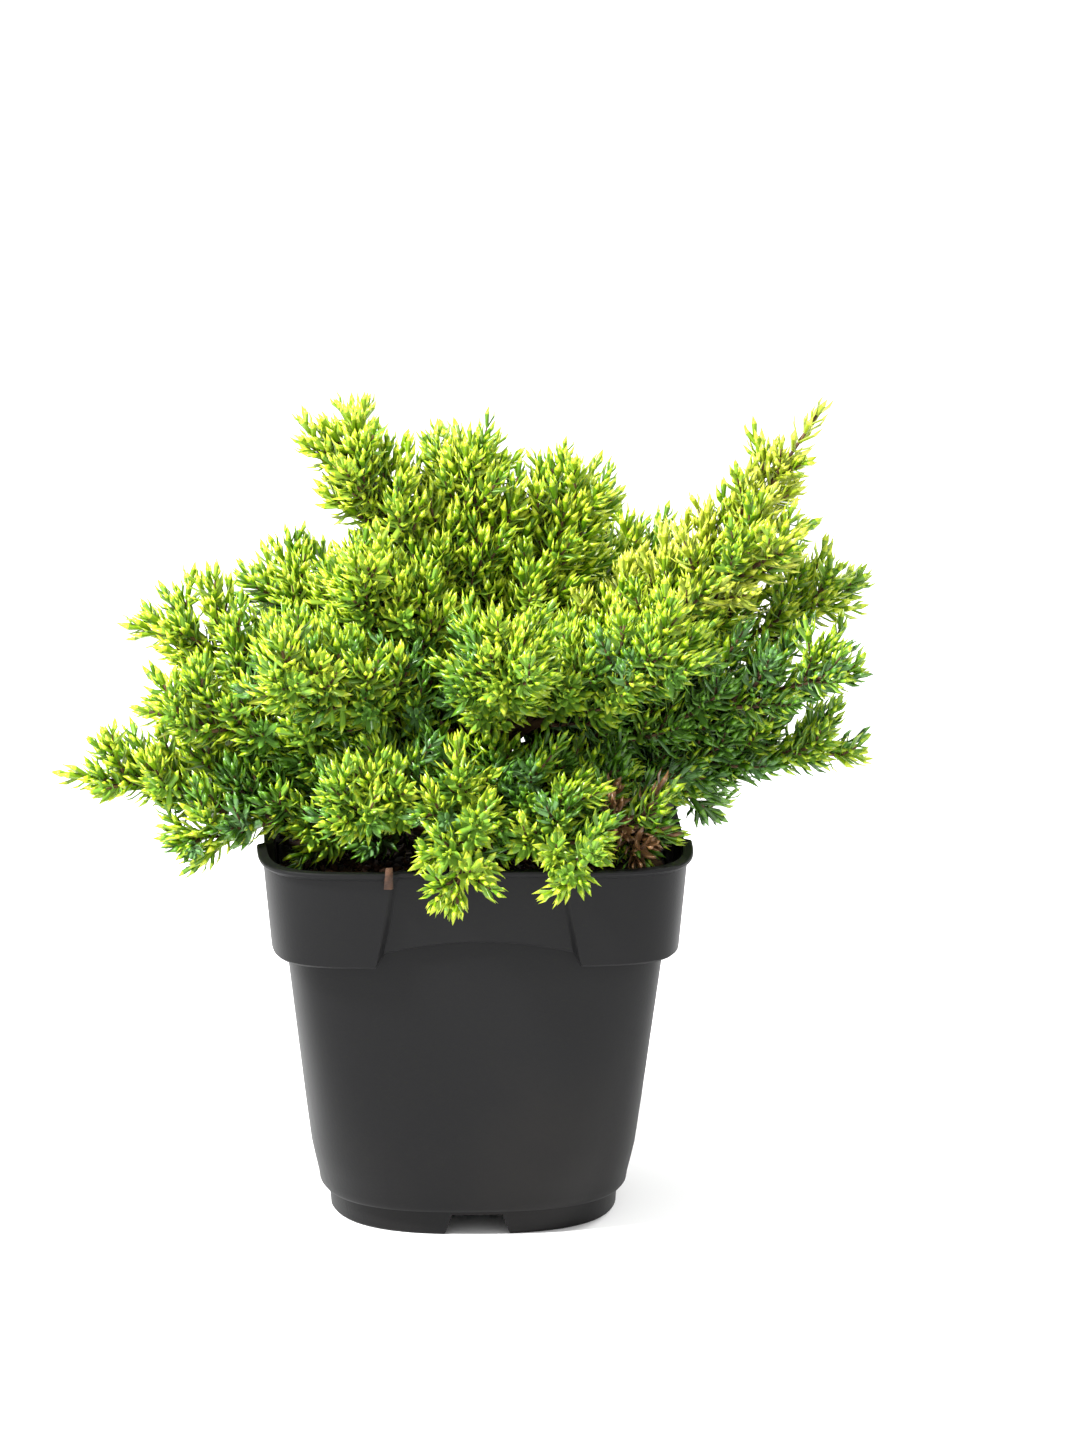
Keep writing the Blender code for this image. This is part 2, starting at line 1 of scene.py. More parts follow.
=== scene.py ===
"""A potted dwarf juniper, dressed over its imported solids. Metres, +Z up, -Y towards the viewer."""

import math
import random
from collections import namedtuple

import bpy
import numpy as np
from mathutils import Matrix, Vector, noise


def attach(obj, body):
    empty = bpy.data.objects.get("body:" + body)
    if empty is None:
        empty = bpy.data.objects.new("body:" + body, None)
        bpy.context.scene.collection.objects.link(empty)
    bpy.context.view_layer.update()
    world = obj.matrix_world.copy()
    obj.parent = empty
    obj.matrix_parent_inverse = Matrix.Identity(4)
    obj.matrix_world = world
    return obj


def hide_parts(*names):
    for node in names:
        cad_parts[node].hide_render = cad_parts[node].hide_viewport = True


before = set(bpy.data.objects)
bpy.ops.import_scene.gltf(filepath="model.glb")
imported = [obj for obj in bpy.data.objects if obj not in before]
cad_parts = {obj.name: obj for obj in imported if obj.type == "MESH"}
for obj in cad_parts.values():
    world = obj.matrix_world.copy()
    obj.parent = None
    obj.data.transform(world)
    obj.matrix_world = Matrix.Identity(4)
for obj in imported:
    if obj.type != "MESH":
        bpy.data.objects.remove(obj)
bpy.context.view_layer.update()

MM = 0.001
UP = Vector((0, 0, 1))
GOLDEN_TURN = math.radians(137.5)
SEED = 22

# Sizes of the pot, as in the part's source
RIM_HEIGHT = 105.5 * MM
RIM_HALF = 58.9 * MM
COLLAR_LOW = 78.5 * MM
ARCH_ENDS = 82.0 * MM
ARCH_MIDDLE = 85.0 * MM
COLLAR_HALF = 55.2 * MM
PANEL_DEPTH = 2.0 * MM
PANEL_HALF_TOP = 21.5 * MM
PANEL_HALF_LOW = 26.3 * MM
BEVEL_WIDTH = 1.4 * MM
LIP_HEIGHT = 1.2 * MM
LIP_WIDTH = 1.3 * MM
WALL = 1.3 * MM
BODY_HALVES = ((9.5, 42.5), (18, 44.4), (32, 46.1), (76.5, 51.0))  # height and half width, mm
RING_HEIGHT = 6.6 * MM
RING_HALF = 39.4 * MM
RING_WALL = 2.2 * MM
FLOOR_TOP = 8.4 * MM
FLOOR_UNDER = 6.2 * MM
NOTCH_HEIGHT = 5.6 * MM
NOTCH_HALF_LOW = 9.2 * MM
NOTCH_HALF_TOP = 6.8 * MM
ROUND_LOW = 2.6
ROUND_HIGH = 6.2

# How finely the pot is drawn
PANEL_COLUMNS = 8
CORNER_COLUMNS = 12
WALL_ROWS = 14
NEAR_MIDDLE = 0.05  # size of the smallest ring of a floor, as a share of the largest

# Sizes of the plant, as in the part's source
SOIL_TOP = 94.0 * MM
SOIL_LEDGE = 88.0 * MM
TRUNK_TOP = 150.0 * MM
TRUNK_RADIUS_LOW = 6.4 * MM
TRUNK_RADIUS_TOP = 3.6 * MM
FLARE_RADIUS = 9.5 * MM
FLARE_HEIGHT = 7.0 * MM
TRUNK_LEAN = Vector((3.0, -1.5, 0)) * MM
BOUGH_RADIUS_FOOT = 1.7 * MM
STEM_RADIUS_FOOT = 1.1 * MM
BOUGH_SHARE = 0.36

Limb = namedtuple("Limb", "name azimuth reach height foot arch girth lead")
LIMBS = (
    Limb("low_left", -172, 113.1, 124, 108, -1, 24, 30),
    Limb("under_left", -163, 91, 105, 101, 7, 23, 14),
    Limb("mid_left", 176, 90, 164, 118, -2, 28, 22),
    Limb("small_left", -166, 94, 143, 112, 2, 23, 20),
    Limb("fore_left", -136, 84, 160, 124, 2, 27, 16),
    Limb("high_left", 152, 67, 172, 124, 0, 28, 12),
    Limb("top_left", 180, 40, 216.8, 139, 7, 27, 26),
    Limb("top_mid", 100, 12, 214, 150, 0, 27, 12),
    Limb("top_right", 22, 38, 202, 138, 0, 27, 12),
    Limb("spire", 3, 97, 221.4, 131, -16, 24, 36),
    Limb("upper_right", -10, 95, 193, 125, -2, 25, 18),
    Limb("high_right", 6, 113, 173, 118, 0, 26, 18),
    Limb("mid_right", -12, 112, 154, 112, 3, 26, 16),
    Limb("low_right", -2, 108, 127, 107, 3, 26, 14),
    Limb("under_right", 14, 78, 106, 101, 8, 22, 14),
    Limb("fore_right", -37, 77, 162, 124, 2, 28, 14),
    Limb("shelf_right", -44, 72, 107, 104, 8, 22, 12),
    Limb("drop_front_left", -95, 80, 92, 111, 18, 23, 16),
    Limb("drop_front_right", -68, 80, 99, 104, 15, 23, 12),
    Limb("front_mid", -80, 58, 160, 133, 0, 28, 14),
    Limb("shelf_left", -122, 76, 118, 107, 6, 24, 12),
    Limb("inner_left", -146, 45, 184, 133, 0, 27, 12),
    Limb("high_back_right", 42, 71, 178, 124, 0, 28, 12),
    Limb("top_back", 98, 48, 188, 134, 0, 28, 12),
    Limb("back_left", 128, 86, 147, 112, 2, 30, 14),
    Limb("back", 92, 83, 136, 107, 4, 30, 14),
    Limb("back_right", 58, 84.6, 143, 115, 2, 30, 14),
    Limb("low_back_left", 152, 94, 112, 101, 7, 27, 14),
    Limb("low_back_right", 32, 97, 118, 110, 4, 27, 14),
)
ON_TRUNK = {"top_left", "top_mid", "top_right", "front_mid", "inner_left", "top_back"}

# The compost's skin and the bark chips on it
SKIN_LOW = 89.0 * MM  # the skin's lower edge, out of sight inside the collar
SKIN_ROWS = 30
CHIP_COUNT = 900
CHIP_REACH = 51.0 * MM

# Bark
TRUNK_ROWS = 40
TRUNK_SIDES = 28
TRUNK_FOOT = 1.5 * MM  # how far the bark goes on below the compost's top
BOUGH_ROWS = 26
BOUGH_SIDES = 10
BARKED_SHARE = 0.62  # of each limb; its leafy shoots carry bark of their own

# Needles and shoots
NEEDLE_LENGTH = 8.5 * MM
NEEDLE_HALF_WIDTH = 1.1 * MM
NEEDLE_HOLLOW = 0.10 * MM  # how far the upper face dips
NEEDLE_KEEL = 0.42 * MM
NEEDLE_ROUGHNESS = 0.32
NEEDLE_SPREAD = 52  # degrees from the shoot
TIP_SPREAD = 20  # the same at a shoot's tip
TIP_ZONE = 9.0 * MM  # over which a shoot's needles close up
WHORL_STEP = 2.3 * MM
BRANCHES_PER_LIMB = 22
SHOOTS_PER_BRANCH = 4
SHOOT_LENGTH = 14.5 * MM
FULL_BRANCH = 24.0 * MM  # a branch of this length has SHOOTS_PER_BRANCH
TIP_GAP = 9.0 * MM  # from the end of a limb's leader to the limb's full reach
LONG_LEAD_GAP = 4.0 * MM  # the same where the leader stands far out of the crown
LIMBS_PER_PIECE = 6

# Room that shoots leave
SHOOT_ROOM = 3.0 * MM  # round the tip of a shoot
RIM_ROOM = 5.0 * MM  # inside the pot's outer edge
BARE_LEFT, BARE_RIGHT = -52.0 * MM, -17.0 * MM  # the gap where the compost shows
BARE_BACK = -34.0 * MM
BARE_TOP = 117.0 * MM

# Needle colours by kind of spray: lower face; tip, painted lighter as the glow of light through
# backlit needles; pale upper face, the real stomatal band made paler as a painted highlight
NEEDLE_COLOURS = {
    "fresh": ((0.190, 0.335, 0.006), (0.520, 0.630, 0.030), (0.310, 0.480, 0.040)),
    "green": ((0.098, 0.232, 0.005), (0.340, 0.490, 0.012), (0.200, 0.385, 0.040)),
    "deep": ((0.038, 0.112, 0.004), (0.100, 0.250, 0.010), (0.110, 0.255, 0.036)),
    "cool": ((0.030, 0.100, 0.008), (0.090, 0.240, 0.020), (0.160, 0.320, 0.110)),
    "golden": ((0.300, 0.390, 0.018), (0.600, 0.660, 0.060), (0.430, 0.530, 0.070)),
    "dead": ((0.110, 0.050, 0.018), (0.190, 0.095, 0.035), (0.150, 0.075, 0.030)),
}
KINDS = list(NEEDLE_COLOURS)

# Where the kinds of spray go: the lighter kinds paint light on the crown's outside and top, the
# darker deep and cool kinds paint shade inside it, low down and on the limbs at the right
GOLDEN_SHARE = {"spire": 0.75, "upper_right": 0.3}
SHADED_LIMBS = {"mid_right", "low_right", "under_right"}
DEAD_SPOT = Vector((43.0, -46.0, 117.0)) * MM
DEAD_RADIUS = 11.0 * MM
CROWN_HALF_WIDTH = 105.0 * MM
CROWN_HALF_DEPTH = 80.0 * MM
CROWN_LOW = 100.0 * MM
CROWN_HEIGHT = 105.0 * MM
SHADE_TOP = 125.0 * MM  # below this the crown shades its own shoots

# The camera, fitted to the pot in the photograph
CAMERA_PLACE = (-0.0650, -1.9991, 0.5805)
CAMERA_TURN = (math.radians(77.39), 0, math.radians(-2.42))
CAMERA_LENS_MM = 186.98
CAMERA_SENSOR_MM = 36
FLOOR_HALF = 6


# Materials


def new_material(name):
    """A new material, its nodes and its links."""
    made = bpy.data.materials.new(name)
    made.use_nodes = True
    return made, made.node_tree.nodes, made.node_tree.links


def plain(name, colour, roughness):
    """A material of one colour."""
    made, nodes, _ = new_material(name)
    shader = nodes["Principled BSDF"]
    shader.inputs["Base Color"].default_value = (*colour, 1)
    shader.inputs["Roughness"].default_value = roughness
    return made


def noise_node(nodes, links, vector, scale, detail):
    """A noise over the object's own coordinates."""
    node = nodes.new("ShaderNodeTexNoise")
    node.inputs["Scale"].default_value = scale
    node.inputs["Detail"].default_value = detail
    links.new(vector, node.inputs["Vector"])
    return node.outputs["Fac"]


def noisy(name, colours, scale, roughness, bump, bump_scale, stretch=(1, 1, 1)):
    """A material whose colour runs through colours by a noise, with a bump of its own scale."""
    made, nodes, links = new_material(name)
    shader = nodes["Principled BSDF"]
    place = nodes.new("ShaderNodeTexCoord")
    mapping = nodes.new("ShaderNodeMapping")
    mapping.inputs["Scale"].default_value = stretch
    links.new(place.outputs["Object"], mapping.inputs["Vector"])
    vector = mapping.outputs["Vector"]
    tone = noise_node(nodes, links, vector, scale, 6)
    ramp = nodes.new("ShaderNodeValToRGB")
    while len(ramp.color_ramp.elements) < len(colours):
        ramp.color_ramp.elements.new(0.5)
    for index, (element, colour) in enumerate(zip(ramp.color_ramp.elements, colours)):
        element.position = 0.3 + 0.4 * index / (len(colours) - 1)
        element.color = (*colour, 1)
    links.new(tone, ramp.inputs["Fac"])
    links.new(ramp.outputs["Color"], shader.inputs["Base Color"])
    rough = nodes.new("ShaderNodeMapRange")
    rough.inputs["To Min"].default_value = roughness[0]
    rough.inputs["To Max"].default_value = roughness[1]
    links.new(tone, rough.inputs["Value"])
    links.new(rough.outputs["Result"], shader.inputs["Roughness"])
    relief = nodes.new("ShaderNodeBump")
    relief.inputs["Strength"].default_value = bump
    relief.inputs["Distance"].default_value = 0.4 * MM
    links.new(noise_node(nodes, links, vector, bump_scale, 4), relief.inputs["Height"])
    links.new(relief.outputs["Normal"], shader.inputs["Normal"])
    return made


def pot_plastic():
    made = noisy(
        "pot_plastic",
        ((0.0036, 0.0036, 0.0041), (0.0050, 0.0050, 0.0054), (0.0090, 0.0082, 0.0078)),
        scale=14,
        roughness=(0.42, 0.60),
        bump=0.10,
        bump_scale=1400,
    )
    made.node_tree.nodes["Principled BSDF"].inputs["Specular IOR Level"].default_value = 0.16
    return made


def compost():
    return noisy(
        "compost",
        ((0.006, 0.004, 0.003), (0.018, 0.009, 0.005), (0.050, 0.022, 0.011)),
        scale=240,
        roughness=(0.85, 1.0),
        bump=0.9,
        bump_scale=700,
    )


def bark_chip():
    return noisy(
        "bark_chip",
        ((0.014, 0.006, 0.003), (0.060, 0.024, 0.010), (0.130, 0.055, 0.022)),
        scale=160,
        roughness=(0.7, 0.95),
        bump=0.7,
        bump_scale=900,
        stretch=(1, 2.4, 1),
    )


def live_bark():
    return noisy(
        "bark",
        ((0.030, 0.014, 0.008), (0.110, 0.052, 0.024), (0.210, 0.115, 0.060)),
        scale=260,
        roughness=(0.75, 0.95),
        bump=0.8,
        bump_scale=800,
        stretch=(1, 1, 0.3),
    )


# Meshes


def linked(name, data):
    """A new object in the scene."""
    obj = bpy.data.objects.new(name, data)
    bpy.context.scene.collection.objects.link(obj)
    return obj


def object_of(mesh, name, slot, *replaced):
    """A new piece that rides on the pot and stands for CAD nodes, which it hides. slot is not used.
    """
    obj = linked(name, mesh)
    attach(obj, "root")
    if replaced:
        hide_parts(*replaced)


def mesh_of(name, corners, faces, materials):
    """A mesh from corner points and faces of three or more corners."""
    mesh = bpy.data.meshes.new(name)
    sizes = np.array([len(face) for face in faces], dtype=np.int32)
    loops = np.fromiter((k for face in faces for k in face), dtype=np.int32)
    fill_mesh(mesh, corners, loops, sizes, materials)
    return mesh


def fill_mesh(mesh, corners, loops, sizes, materials, shades=None):
    """Fills a mesh from arrays: points, every face's corners in a row, and the faces' sizes."""
    mesh.vertices.add(len(corners))
    mesh.vertices.foreach_set("co", np.asarray(corners, dtype=np.float32).ravel())
    mesh.loops.add(len(loops))
    mesh.loops.foreach_set("vertex_index", loops)
    mesh.polygons.add(len(sizes))
    mesh.polygons.foreach_set("loop_start", np.concatenate(([0], np.cumsum(sizes)[:-1])))
    if shades is not None:
        mesh.polygons.foreach_set("material_index", np.asarray(shades, dtype=np.int32))
    mesh.update(calc_edges=True)
    for material in materials:
        mesh.materials.append(material)


def lofted(name, rings, materials):
    """A closed mesh through rings of as many points each, with a flat face at either end."""
    count = len(rings[0])
    corners = [tuple(point) for ring in rings for point in ring]
    faces = []
    for row in range(len(rings) - 1):
        low, high = row * count, (row + 1) * count
        for i in range(count):
            j = (i + 1) % count
            faces.append((low + i, low + j, high + j, high + i))
    faces.append(tuple(range(count))[::-1])
    faces.append(tuple((len(rings) - 1) * count + i for i in range(count)))
    return mesh_of(name, corners, faces, materials)


# The pot


def body_half(height):
    """Half the pot's width below its collar."""
    heights, halves = zip(*BODY_HALVES)
    return float(np.interp(height / MM, heights, halves)) * MM


def roundness(height):
    """The power of the pot's rounded square, which grows squarer up to the collar."""
    share = min(1, max(0, height / COLLAR_LOW))
    return ROUND_LOW + (ROUND_HIGH - ROUND_LOW) * share**1.5


def plan_point(half, power, angle):
    """The point of a rounded square at an angle from its front."""
    c, s = abs(math.cos(angle)), abs(math.sin(angle))
    radius = half / (c**power + s**power) ** (1 / power)
    return radius * math.sin(angle), -radius * math.cos(angle)


def collar_half(height):
    """Half the collar's width below its lip."""
    share = (height - COLLAR_LOW) / (RIM_HEIGHT - COLLAR_LOW)
    return COLLAR_HALF + (RIM_HALF - LIP_WIDTH - COLLAR_HALF) * share


def face_columns(half, height):
    """(angle, how far out from panel to corner) for the columns of half a face, from its middle."""
    share = min(1, max(0, (height - COLLAR_LOW) / (RIM_HEIGHT - COLLAR_LOW)))
    panel_half = PANEL_HALF_LOW + (PANEL_HALF_TOP - PANEL_HALF_LOW) * share
    panel = math.atan(panel_half / half)
    corner = math.atan((panel_half + BEVEL_WIDTH) / half)
    rest = math.pi / 4 - corner
    columns = [(panel * k / PANEL_COLUMNS, 0.0) for k in range(PANEL_COLUMNS + 1)]
    columns += [(panel + (corner - panel) * k, 3 * k**2 - 2 * k**3) for k in (0.25, 0.5, 0.75, 1)]
    columns += [(corner + rest * k / CORNER_COLUMNS, 1.0) for k in range(1, CORNER_COLUMNS + 1)]
    return columns


def pot_ring(half, height, inset=0.0, is_collar=False, is_arched=False):
    """One closed ring of points round the pot."""
    columns = face_columns(half, height)
    face = [(-angle, out) for angle, out in columns[:0:-1]] + columns[:-1]
    panel = columns[PANEL_COLUMNS][0]
    ring = []
    for quarter in range(4):
        turn = Matrix.Rotation(math.radians(90) * quarter, 3, "Z")
        for angle, out in face:
            depth = PANEL_DEPTH * (1 - out) if is_collar else 0
            x, y = plan_point(half - inset - depth, roundness(height), angle)
            lift = 0.0
            if is_arched:
                across = min(1, abs(angle) / panel)
                arch = ARCH_ENDS + (ARCH_MIDDLE - ARCH_ENDS) * (1 - across * across)
                lift = (arch - COLLAR_LOW) * (1 - out)
            ring.append(turn @ Vector((x, y, height + lift)))
    return ring


def foot_rings(low):
    """The underside, the foot ring and the step above it."""
    recess = RING_HALF - RING_WALL
    rings = [pot_ring(recess * share, FLOOR_UNDER) for share in (NEAR_MIDDLE, 0.6, 1)]
    profile = (
        (recess, 0.3 * MM),
        (recess + 0.3 * MM, 0),
        (RING_HALF - 0.4 * MM, 0),
        (RING_HALF, 0.5 * MM),
        (RING_HALF + 0.4 * MM, RING_HEIGHT),
        (body_half(low) - 0.9 * MM, RING_HEIGHT + 0.3 * MM),
        (body_half(low) - 0.2 * MM, RING_HEIGHT + 1.2 * MM),
    )
    return rings + [pot_ring(half, height) for half, height in profile]


def wall_rings(low, top):
    """The plain wall up to the collar."""
    heights = [low + (top - low) * k / WALL_ROWS for k in range(WALL_ROWS + 1)]
    return [pot_ring(body_half(height), height) for height in heights]


def collar_rings():
    """The collar's arched lower edge, its face with the panels, and the lip."""
    rings = [
        pot_ring(COLLAR_HALF - 0.6 * MM, COLLAR_LOW, is_collar=True, is_arched=True),
        pot_ring(COLLAR_HALF, COLLAR_LOW + 0.6 * MM, is_collar=True, is_arched=True),
    ]
    lip = RIM_HEIGHT - LIP_HEIGHT
    heights = [COLLAR_LOW + (lip - COLLAR_LOW) * share for share in (0.6, 0.8, 0.96)]
    rings += [pot_ring(collar_half(height), height, is_collar=True) for height in heights]
    profile = (
        (RIM_HALF - 0.2 * MM, lip),
        (RIM_HALF, lip + 0.3 * MM),
        (RIM_HALF, RIM_HEIGHT - 0.3 * MM),
        (RIM_HALF - 0.3 * MM, RIM_HEIGHT),
        (RIM_HALF - LIP_WIDTH - WALL, RIM_HEIGHT),
    )
    return rings + [pot_ring(half, height, is_collar=True) for half, height in profile]


def inner_rings(low, top):
    """The inside, from below the lip to the middle of the floor."""
    heights = (RIM_HEIGHT - 1 * MM, SOIL_TOP, SOIL_LEDGE)
    rings = [pot_ring(collar_half(height), height, WALL, is_collar=True) for height in heights]
    step = COLLAR_LOW + WALL
    rings.append(pot_ring(COLLAR_HALF, step, WALL, is_collar=True, is_arched=True))
    rings.append(pot_ring(body_half(top), step - 0.3 * MM, WALL, is_arched=True))
    rings += [pot_ring(body_half(height), height, WALL) for height in (60 * MM, 30 * MM, low)]
    rings.append(pot_ring(body_half(low) * NEAR_MIDDLE, FLOOR_TOP + 0.4 * MM))
    return rings


def pot_rings():
    """Every ring of the pot's skin, from the middle of its underside to the middle of its floor."""
    low, top = BODY_HALVES[0][0] * MM, BODY_HALVES[-1][0] * MM
    rings = foot_rings(low) + wall_rings(low, top)
    rings.append(pot_ring(body_half(top), COLLAR_LOW - 0.3 * MM, is_arched=True))
    return rings + collar_rings() + inner_rings(low, top)


def notch_mesh(turn):
    """A bar across the pot's foot, which cuts the notches in two facing sides."""
    outline = (
        (-NOTCH_HALF_LOW, -MM),
        (NOTCH_HALF_LOW, -MM),
        (NOTCH_HALF_TOP, NOTCH_HEIGHT),
        (-NOTCH_HALF_TOP, NOTCH_HEIGHT),
    )
    spin = Matrix.Rotation(turn, 3, "Z")
    rings = [[spin @ Vector((x, y, z)) for x, z in outline] for y in (RIM_HALF, -RIM_HALF)]
    return lofted("notch", rings, [])


def make_pot():
    shell = linked("pot_shell", lofted("pot_shell", pot_rings(), [pot_plastic()]))
    cutters = []
    for turn in (0, math.radians(90)):
        cutter = linked("notch", notch_mesh(turn))
        cut = shell.modifiers.new("notch", "BOOLEAN")
        cut.operation = "DIFFERENCE"
        cut.object = cutter
        cut.solver = "EXACT"
        cutters.append(cutter)
    graph = bpy.context.evaluated_depsgraph_get()
    done = bpy.data.meshes.new_from_object(shell.evaluated_get(graph))
    for obj in [shell, *cutters]:
        bpy.data.objects.remove(obj)
    done.shade_smooth()
    done.set_sharp_from_angle(angle=math.radians(32))
    object_of(done, "pot_moulded", "pot_plastic", "pot")


# The compost

# Corners of a box, by the bits of their numbers
CHIP_FACES = ((0, 2, 3, 1), (4, 5, 7, 6), (0, 1, 5, 4), (2, 6, 7, 3), (0, 4, 6, 2), (1, 3, 7, 5))


def soil_height(x, y):
    """The lumpy top of the compost, which rises a little at the pot's wall."""
    lumps = noise.noise(Vector((x, y, 0)) * 90) * 2.2 + noise.noise(Vector((x, y, 3)) * 320)
    edge = max(0, max(abs(x), abs(y)) / (50 * MM) - 0.8) * 4
    return SOIL_TOP + (lumps + edge) * MM


def make_soil():
    edge = pot_ring(collar_half(SOIL_TOP), SOIL_TOP, WALL + 0.5 * MM, is_collar=True)
    rings = [[Vector((p.x * 0.97, p.y * 0.97, SKIN_LOW)) for p in edge]]
    for k in range(SKIN_ROWS):
        share = 1 - k / SKIN_ROWS
        plan = [(p.x * share, p.y * share) for p in edge]
        rings.append([Vector((x, y, soil_height(x, y))) for x, y in plan])
    mesh = lofted("compost_top", rings, [compost()])
    mesh.shade_smooth()
    object_of(mesh, "compost_top", "compost", "compost")


def chip_corners(rng, centre, size, turn):
    """Eight corners of a split, uneven flake of bark."""
    corners = []
    for k in range(8):
        sign = Vector(((k & 1) * 2 - 1, (k >> 1 & 1) * 2 - 1, (k >> 2 & 1) * 2 - 1))
        point = Vector(sign[i] * size[i] * rng.uniform(0.55, 1.1) for i in range(3))
        corners.append(centre + turn @ point)
    return corners


def strewn_chips(rng):
    """(centre, half sizes, turn) of the small flakes all over the compost."""
    flakes = []
    for _ in range(CHIP_COUNT):
        x, y = rng.uniform(-CHIP_REACH, CHIP_REACH), rng.uniform(-CHIP_REACH, CHIP_REACH)
        length = rng.uniform(0.8, 3.6) * MM
        width = rng.uniform(0.5, 1.6) * MM
        thickness = rng.uniform(0.3, 0.8) * MM
        centre = Vector((x, y, soil_height(x, y) + rng.uniform(0.1, 1.4) * MM))
        turn = Matrix.Rotation(rng.uniform(0, math.tau), 3, "Z")
        turn = turn @ Matrix.Rotation(rng.gauss(0, 0.5), 3, "X")
        turn = turn @ Matrix.Rotation(rng.gauss(0, 0.4), 3, "Y")
        flakes.append((centre, (length, width, thickness), turn))
    return flakes


def placed_chips(rng):
    """The same of the larger flakes: one over the front rim and three at the right."""
    lean = Matrix.Rotation(math.radians(-62), 3, "X") @ Matrix.Rotation(math.radians(90), 3, "Z")
    flakes = [(Vector((-0.0240, -0.0598, 0.1045)), (4.6 * MM, 1.3 * MM, 0.5 * MM), lean)]
    for place in ((0.050, -0.010, 0.1035), (0.051, 0.006, 0.1040), (0.047, -0.030, 0.1000)):
        turn = Matrix.Rotation(rng.uniform(0, math.tau), 3, "Z") @ Matrix.Rotation(0.5, 3, "X")
        flakes.append((Vector(place), (4.5 * MM, 2.2 * MM, 0.9 * MM), turn))
    return flakes


def make_chips():
    rng = random.Random(SEED + 1)
    corners, faces = [], []
    for centre, size, turn in strewn_chips(rng) + placed_chips(rng):
        base = len(corners)
        corners += [tuple(point) for point in chip_corners(rng, centre, size, turn)]
        faces += [tuple(base + k for k in face) for face in CHIP_FACES]
    mesh = mesh_of("bark_chips", corners, faces, [bark_chip()])
    object_of(mesh, "bark_chips", "compost")


# Limbs, by the same rule as the part's source


def trunk_axis(height):
    share = (height - SOIL_TOP) / (TRUNK_TOP - SOIL_TOP)
    return TRUNK_LEAN * share * share + Vector((0, 0, height))


def trunk_radius(height):
    above = height - SOIL_TOP
    share = above / (TRUNK_TOP - SOIL_TOP)
    flare = (FLARE_RADIUS - TRUNK_RADIUS_LOW) * max(0, 1 - above / FLARE_HEIGHT) ** 2
    return TRUNK_RADIUS_LOW + (TRUNK_RADIUS_TOP - TRUNK_RADIUS_LOW) * share + flare


def limb_curve(limb, steps=24):
    """Points from inside the trunk to the end of the limb's leading shoot."""
    turn = math.radians(limb.azimuth)
    reach = limb.reach * MM
    tip = Vector((reach * math.cos(turn), reach * math.sin(turn), limb.height * MM))
    foot = trunk_axis(limb.foot * MM)
    middle = foot.lerp(tip, 0.5) + UP * limb.arch * 2 * MM
    shares = [i / steps for i in range(steps + 1)]
    return [foot * (1 - t) ** 2 + middle * 2 * t * (1 - t) + tip * t * t for t in shares]


def path_length(points):
    return sum((b - a).length for a, b in zip(points, points[1:]))


def along(points, share):
    """The point at a share of the way along a row of points."""
    place = min(max(share, 0), 1) * (len(points) - 1)
    index = min(int(place), len(points) - 2)
    return points[index].lerp(points[index + 1], place - index)


def heading(points, share):
    """The unit way in which a row of points runs there."""
    return (along(points, share + 0.04) - along(points, share - 0.04)).normalized()


def sides_of(way):
    """Two unit vectors square to way."""
    turn = way.to_track_quat("Z", "Y").to_matrix()
    return turn.col[0], turn.col[1]


def tube_rings(points, radii, sides, roughness, corners, faces):
    """Adds an uneven tube to corners and faces. roughness is the relief's share of the radius."""
    base = len(corners)
    for index, (point, radius) in enumerate(zip(points, radii)):
        way = heading(points, index / (len(points) - 1))
        x, y = sides_of(way)
        for k in range(sides):
            turn = math.tau * k / sides
            out = x * math.cos(turn) + y * math.sin(turn)
            bump = 1.0
            if roughness:
                skin = point + out * radius
                ridge = noise.noise(Vector((skin.x * 700, skin.y * 700, skin.z * 160)))
                bump += roughness * ridge
            corners.append(tuple(point + out * radius * bump))
    for row in range(len(points) - 1):
        low, high = base + row * sides, base + (row + 1) * sides
        for k in range(sides):
            j = (k + 1) % sides
            faces.append((low + k, low + j, high + j, high + k))
    faces.append(tuple(base + k for k in range(sides))[::-1])
    faces.append(tuple(base + (len(points) - 1) * sides + k for k in range(sides)))


def make_trunk(bark):
    low = SOIL_TOP - TRUNK_FOOT
    heights = [low + (TRUNK_TOP - low) * k / TRUNK_ROWS for k in range(TRUNK_ROWS + 1)]
    points = [trunk_axis(height) for height in heights]
    radii = [trunk_radius(max(height, SOIL_TOP)) for height in heights]
    corners, faces = [], []
    tube_rings(points, radii, TRUNK_SIDES, 0.28, corners, faces)
    mesh = mesh_of("trunk_bark", corners, faces, [bark])
    mesh.shade_smooth()
    object_of(mesh, "trunk_bark", "bark", "trunk")


def make_boughs(curves, bark):
    """The boughs and the stems on the trunk, with ridged bark."""
    corners, faces = [], []
    for limb in LIMBS:
        shares = [BARKED_SHARE * k / BOUGH_ROWS for k in range(BOUGH_ROWS + 1)]
        run = [along(curves[limb.name], share) for share in shares]
        foot = STEM_RADIUS_FOOT if limb.name in ON_TRUNK else BOUGH_RADIUS_FOOT
        radii = [foot * (1 - 0.55 * k / BOUGH_ROWS) for k in range(BOUGH_ROWS + 1)]
        tube_rings(run, radii, BOUGH_SIDES, 0.3, corners, faces)
    mesh = mesh_of("bough_bark", corners, faces, [bark])
    mesh.shade_smooth()
    boughs = ["bough_" + limb.name for limb in LIMBS if limb.name not in ON_TRUNK]
    object_of(mesh, "bough_bark", "bark", *boughs)


# Foliage

# leafy is the bare share at a shoot's foot, and vigour scales its needles
Shoot = namedtuple("Shoot", "points radius leafy kind vigour")


